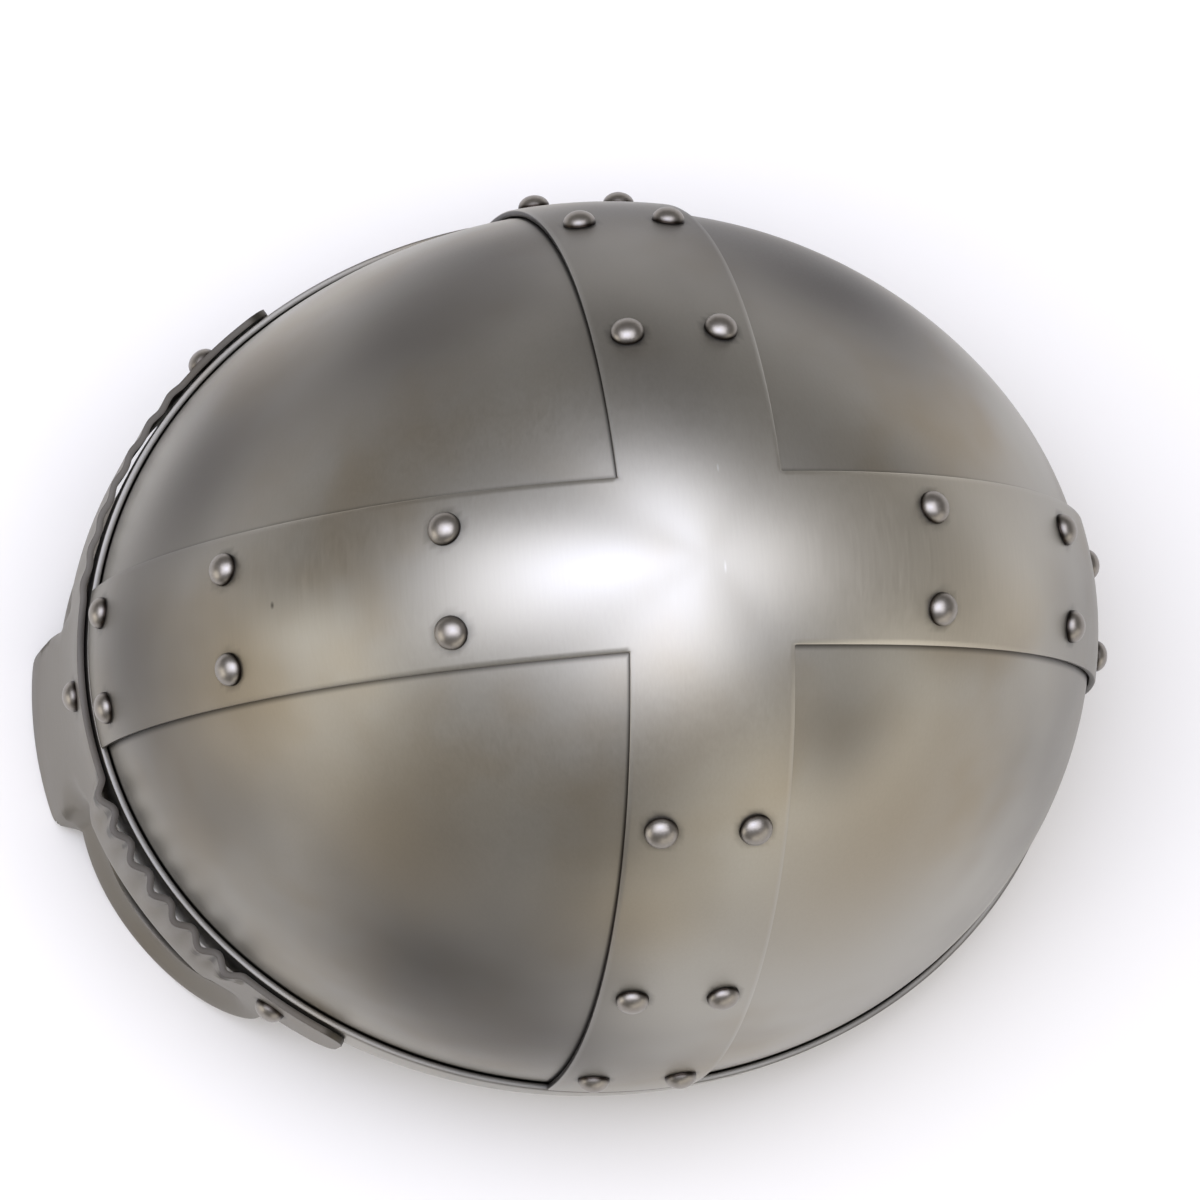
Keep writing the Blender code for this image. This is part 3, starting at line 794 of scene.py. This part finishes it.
def eyeOuterLoop():  # round one eye: the top edge, the temple, the ring, the nose
    far = plate["eyePlace"] + plate["eyeHalfWidth"] + plate["ringWidth"]
    start = plate["fluteStart"]
    end = start + plate["fluteCount"] * plate["flutePitch"]
    cells = plate["fluteCells"] * plate["fluteCount"]
    inner, outer, side = plate["innerCells"], plate["outerCells"], plate["sideCells"]
    top = [start * i / inner for i in range(inner)]
    top += [start + (end - start) * i / cells for i in range(cells + 1)]
    top += [end + (far - end) * i / outer for i in range(1, outer)]
    loop = [(place, plateTop) for place in top]
    fall = -plate["stripDrop"] - plateTop
    loop += [(far, plateTop + fall * i / side) for i in range(side + 1)]
    junction = -math.pi
    for _ in range(search["joinTurns"]):
        across = plate["eyePlace"] - plate["noseHalfWidth"] - plate["noseJoin"]
        across /= eyeReach(junction) + plate["ringWidth"]
        junction = (junction - math.acos(-across)) / 2
    for i in range(plate["ringCells"] + 1):
        angle = junction * i / plate["ringCells"]
        reach = eyeReach(angle) + plate["ringWidth"]
        loop.append((plate["eyePlace"] + reach * math.cos(angle),
                     plate["eyeLevel"] + reach * math.sin(angle)))
    root = loop[-1]
    cells = plate["rootCells"]
    loop += [(root[0] * (1 - i / cells), root[1] + (plate["noseRoot"] - root[1]) * i / cells)
             for i in range(1, cells + 1)]
    cells = plate["middleCells"]
    loop += [(0.0, plate["noseRoot"] + (plateTop - plate["noseRoot"]) * i / cells)
             for i in range(1, cells)]
    return loop, root


def makeFacePlate(material):
    loop, root = eyeOuterLoop()
    far = plate["eyePlace"] + plate["eyeHalfWidth"] + plate["ringWidth"]
    flat = plate["noseHalfWidth"] - plate["noseCorner"]
    mesh = bmesh.new()
    for side in (1, -1):
        def put(place, level):
            return plateMiddle(side * place + noseDrift(place, level), level)

        def ringPlace(u, v):
            place, level = loop[round(u * len(loop)) % len(loop)]
            angle = math.atan2(level - plate["eyeLevel"], place - plate["eyePlace"])
            edge = eyeReach(angle)
            innerPlace = plate["eyePlace"] + edge * math.cos(angle)
            innerLevel = plate["eyeLevel"] + edge * math.sin(angle)
            return put(innerPlace + (place - innerPlace) * v,
                       innerLevel + (level - innerLevel) * v)

        def nosePlace(u, v):
            upper = (root[0] * u, plate["noseRoot"] + (root[1] - plate["noseRoot"]) * u)
            if u < plate["noseFlat"]:
                lower = (flat * u / plate["noseFlat"], plate["noseTip"])
            else:
                turned = (u - plate["noseFlat"]) / (1 - plate["noseFlat"]) * math.pi / 2
                lower = (flat + plate["noseCorner"] * math.sin(turned),
                         plate["noseTip"] + plate["noseCorner"] * (1 - math.cos(turned)))
            return put(upper[0] + (lower[0] - upper[0]) * v,
                       upper[1] + (lower[1] - upper[1]) * v)

        def templePlace(u, v):
            place = far + (plate["halfSpan"] - far) * u
            fromEnd = plate["halfSpan"] - place
            trim = 0.0
            if fromEnd < plate["endRound"]:
                left = plate["endRound"] - fromEnd
                trim = plate["endRound"] - math.sqrt(max(plate["endRound"] ** 2 - left ** 2, 0))
            top = plateTop - trim
            bottom = -plate["stripDrop"] + trim
            return put(place, top + (bottom - top) * v)

        addGrid(mesh, len(loop), plate["rings"], ringPlace)
        addGrid(mesh, *plate["noseCells"], nosePlace)
        addGrid(mesh, *plate["endCells"], templePlace)
    makeSheet(mesh, skull["sheet"] / 2, plate["edgeRadius"])
    return finishPiece("face_plate", mesh, material)


def makeRivet(name, point, normal, seat, tail, material):
    head = [(rivet["headRadius"] * math.sin(math.radians(a)),
             seat + rivet["headHeight"] * math.cos(math.radians(a)))
            for a in rivet["domeAngles"]]
    profile = head + [(rivet["shankRadius"], seat), (rivet["shankRadius"], tail),
                      (rivet["tailRadius"], tail)]
    profile += [(rivet["tailRadius"] * math.cos(math.radians(a)),
                 tail - rivet["tailHeight"] * math.sin(math.radians(a)))
                for a in rivet["tailAngles"]]
    mesh = bmesh.new()
    verts = [mesh.verts.new((x, 0, z)) for x, z in profile]
    edges = [mesh.edges.new(pair) for pair in zip(verts, verts[1:])]
    bmesh.ops.spin(mesh, geom=verts + edges, cent=(0, 0, 0), axis=(0, 0, 1),
                   angle=2 * math.pi, steps=rivet["steps"], use_merge=True)
    bmesh.ops.remove_doubles(mesh, verts=mesh.verts, dist=rivet["weld"])
    bmesh.ops.recalc_face_normals(mesh, faces=mesh.faces)
    turned = normal.to_track_quat("Z", "X").to_matrix().to_4x4()
    bmesh.ops.transform(mesh, matrix=Matrix.Translation(point) @ turned, verts=mesh.verts)
    piece = finishPiece(name, mesh, material)
    base = toWorld @ (point + normal * seat)
    up = toWorld.to_3x3() @ normal
    # darker towards the dome's base: patina with a painted contact shadow
    pointAttribute(piece.data, "rivetGrimeAndShade", lambda vertex: 1 - smoothStep(
        (vertex.co - base).dot(up), 0.0, rivet["headHeight"] * rivet["baseGrimeAndShadeRise"]))
    return base


def makeRivets(material):
    bases = []
    seatGap = skull["clearance"] * rivet["seatShare"]
    for arm, (azimuth, _, _, spacing) in arms.items():
        table = meridian(azimuth, -band["drop"])
        reach = tableValue(-band["rise"], [-level for level in table[1]], table[0])
        for number, share in enumerate(rivetShares[arm], start=1):
            for side, hand in ((-1, "a"), (1, "b")):
                point = stripPoint(azimuth, reach * share, side * spacing / 2, table)
                bases.append(makeRivet(f"rivet_{arm}_{number}{hand}", point, skullNormal(point),
                                       bandOuter + seatGap,
                                       -skull["sheet"] - 2 * skull["clearance"], material))
    temple = plate["halfSpan"] - plate["templeRivetInset"]
    templeLevel = (plateTop - plate["stripDrop"]) / 2
    spots = (("rivet_nose", 0.0, plateTop - plate["noseRivetInset"], skull["clearance"]),
             ("rivet_temple_left", temple, templeLevel, -skull["sheet"]),
             ("rivet_temple_right", -temple, templeLevel, -skull["sheet"]))
    for name, place, level, innerFace in spots:
        middle = plateMiddle(place, level)
        step = search["plateStep"]
        along = plateMiddle(place + step, level) - plateMiddle(place - step, level)
        up = plateMiddle(place, level + step) - plateMiddle(place, level - step)
        normal = along.cross(up).normalized()
        depth = (middle - skullPoint(plateAzimuth(place), level)).dot(normal)
        bases.append(makeRivet(name, middle, normal, skull["sheet"] / 2 + seatGap,
                               innerFace - 2 * skull["clearance"] - depth, material))
    return bases


# How bright the edges are painted: above 0 wear with a painted highlight where the edge catches
# the light, below 0 painted shade on the edge walls, that dark
edgeWearAndShading = {
    "crossTop": 0.12,
    "sideAhead": -0.95,
    "sideBehind": -0.4,
    "long": -0.7,
    "brow": -0.42,
    "browDepth": 0.001,
    "plate": -0.6,
    "looksUp": 0.4,
    "looksBehind": 0.3,
}


def markSheet(piece, bases, wearAndShading):
    # patina and painted contact shadow in a ring round each rivet, painted shade in the
    # edges that look forward, and wear with a painted highlight along the edges that look up
    surface = bmesh.new()
    surface.from_mesh(piece.data)
    edgeVerts = set()
    for edge in sharpEdges(surface, sheetFinish["wearAndShadingAngle"]):
        edgeVerts.update(vert.index for vert in edge.verts)
    back = toWorld.inverted()
    turned = back.to_3x3()
    surface.verts.ensure_lookup_table()
    facing = {}
    for index in edgeVerts:
        vert = surface.verts[index]
        flank = min(vert.link_faces, key=lambda face: face.calc_area())
        spot = back @ vert.co
        upward = (turned @ vert.normal).dot(skullNormal(spot))
        facing[index] = (turned @ flank.normal, spot, upward)
    surface.free()

    def grimeAndShade(vertex):
        near = min((vertex.co - base).length for base in bases)
        ring = rivet["ringGrimeAndShade"] * (1 - smoothStep(
            near, rivet["headRadius"], rivet["headRadius"] * rivet["ringSpread"]))
        if vertex.index in facing:
            ring = max(ring, -wearAndShading(*facing[vertex.index]))
        return ring

    pointAttribute(piece.data, "rivetGrimeAndShade", grimeAndShade)
    pointAttribute(piece.data, "wearAndShadingEdge", lambda vertex: max(
        wearAndShading(*facing[vertex.index]) if vertex.index in facing else 0.0, 0.0))


# upward edges of the side arms: wear with a painted highlight; other edge walls: painted shade
def crossEdgeWearAndShading(normal, place, upward):
    onSideArm = abs(place.x) > abs(place.y)
    if upward > edgeWearAndShading["looksUp"]:
        return edgeWearAndShading["crossTop"] if onSideArm else 0.0
    if onSideArm:
        behind = normal.y > edgeWearAndShading["looksBehind"]
        return edgeWearAndShading["sideBehind"] if behind else edgeWearAndShading["sideAhead"]
    return edgeWearAndShading["long"]


def browEdgeShade(normal, place, upward):
    return edgeWearAndShading["brow"] if place.z > band["rise"] - edgeWearAndShading["browDepth"] else 0.0


def plateEdgeShade(normal, place, upward):
    return edgeWearAndShading["plate"] if place.z > 0 else 0.0


# satin grey under smoky brown clouds, partly painted dark reflection, with seams darkened by dirt
# and a painted shadow
panelSteel = steelMaterial("patinated brushed steel", "panel")
# the same, with lighter patches over the crown that are a painted highlight, dark rings of patina
# and painted contact shadow round the rivets, and painted shade and highlight along the edges
bandSteel = steelMaterial("paintedHighlight brushed steel", "band")
# darker and browner all over, so the face stands back from the skull
plateSteel = steelMaterial("browned brushed steel", "band", patina=steelLook["platePatina"])
# small glints in dark rings of patina and painted contact shadow
rivetSteel = rivetMaterial()
for name, xSide, ySide in (("panel_front_left", 1, -1), ("panel_front_right", -1, -1),
                           ("panel_back_left", 1, 1), ("panel_back_right", -1, 1)):
    makePanel(name, xSide, ySide, panelSteel)
print("panels made")
sheets = [(makeCross(bandSteel), crossEdgeWearAndShading), (makeBrowBand(bandSteel), browEdgeShade)]
print("cross and brow band made")
sheets.append((makeFacePlate(plateSteel), plateEdgeShade))
print("face plate made")
rivetBases = makeRivets(rivetSteel)
print("rivets made", len(rivetBases))
for sheetPiece, wearAndShadingRule in sheets:
    markSheet(sheetPiece, rivetBases, wearAndShadingRule)

# Camera: nearly straight above, a little to the front and to the wearer's left
camera = {
    "place": (0.146052, -0.219867, 1.064536),
    "right": (0.07012648, 0.97804143, 0.19625809),
    "down": (0.98706098, -0.03959395, -0.15537999),
    "ahead": (-0.14419744, 0.20461495, -0.96816312),
    "lens": 141.81,
    "sensor": 36,
}
cameraData = bpy.data.cameras.new("camera")
cameraData.sensor_width = camera["sensor"]
cameraData.lens = camera["lens"]
cameraObject = bpy.data.objects.new("camera", cameraData)
bpy.context.scene.collection.objects.link(cameraObject)
aim = Matrix((camera["right"], [-v for v in camera["down"]],
              [-v for v in camera["ahead"]])).transposed().to_4x4()
cameraObject.matrix_world = toWorld @ Matrix.Translation(camera["place"]) @ aim
bpy.context.scene.camera = cameraObject

# Studio: white floor, soft light from a wide softbox overhead with a cooler one
# under its middle, two weak low ones in front and at the side, a dim surround
studio = {
    "floor": "ebe8e1",
    "floorSize": 8.0,
    "floorRoughness": 0.9,
    "surround": "cfcac4",
    "surroundStrength": 0.40,
}
softboxes = {
    "wide softbox": {"size": (1.7, 2.6), "place": (-0.14, -0.12, 1.60), "power": 43.0,
                     "color": "f0f2ff", "upright": False},
    "cool softbox": {"size": (0.6, 0.9), "place": (-0.14, -0.12, 1.55), "power": 4.4,
                     "color": "c2d0ff", "upright": False},
    "front softbox": {"size": (1.1, 0.9), "place": (0.42, -1.65, 0.50), "power": 6.4,
                      "color": "fffaf2", "upright": True},
    "side softbox": {"size": (2.9, 0.9), "place": (1.50, 0.90, 0.50), "power": 10.5,
                     "color": "fffaf2", "upright": True},
}


def makeStudio():
    mesh = bmesh.new()
    bmesh.ops.create_grid(mesh, x_segments=1, y_segments=1, size=studio["floorSize"] / 2)
    data = bpy.data.meshes.new("floor")
    mesh.to_mesh(data)
    mesh.free()
    floor = bpy.data.objects.new("floor", data)
    bpy.context.scene.collection.objects.link(floor)
    material = bpy.data.materials.new("white paper")
    material.use_nodes = True
    shader = material.node_tree.nodes["Principled BSDF"]
    shader.inputs["Base Color"].default_value = hexColor(studio["floor"])
    shader.inputs["Roughness"].default_value = studio["floorRoughness"]
    data.materials.append(material)
    for name, box in softboxes.items():
        light = bpy.data.lights.new(name, "AREA")
        light.shape = "RECTANGLE"
        light.size, light.size_y = box["size"]
        light.energy = box["power"]
        light.color = hexColor(box["color"])[:3]
        lamp = bpy.data.objects.new(name, light)
        lamp.location = box["place"]
        if box["upright"]:  # turned to the helmet
            level = Vector((box["place"][0], box["place"][1], 0))
            lamp.rotation_euler = level.to_track_quat("Z", "Y").to_euler()
        lamp.visible_camera = False
        bpy.context.scene.collection.objects.link(lamp)
    world = bpy.data.worlds.new("surround")
    bpy.context.scene.world = world
    world.use_nodes = True
    backdrop = world.node_tree.nodes["Background"]
    backdrop.inputs["Color"].default_value = hexColor(studio["surround"])
    backdrop.inputs["Strength"].default_value = studio["surroundStrength"]
    bpy.context.scene.view_settings.view_transform = "Standard"  # white paper stays white


makeStudio()
print("studio lit")
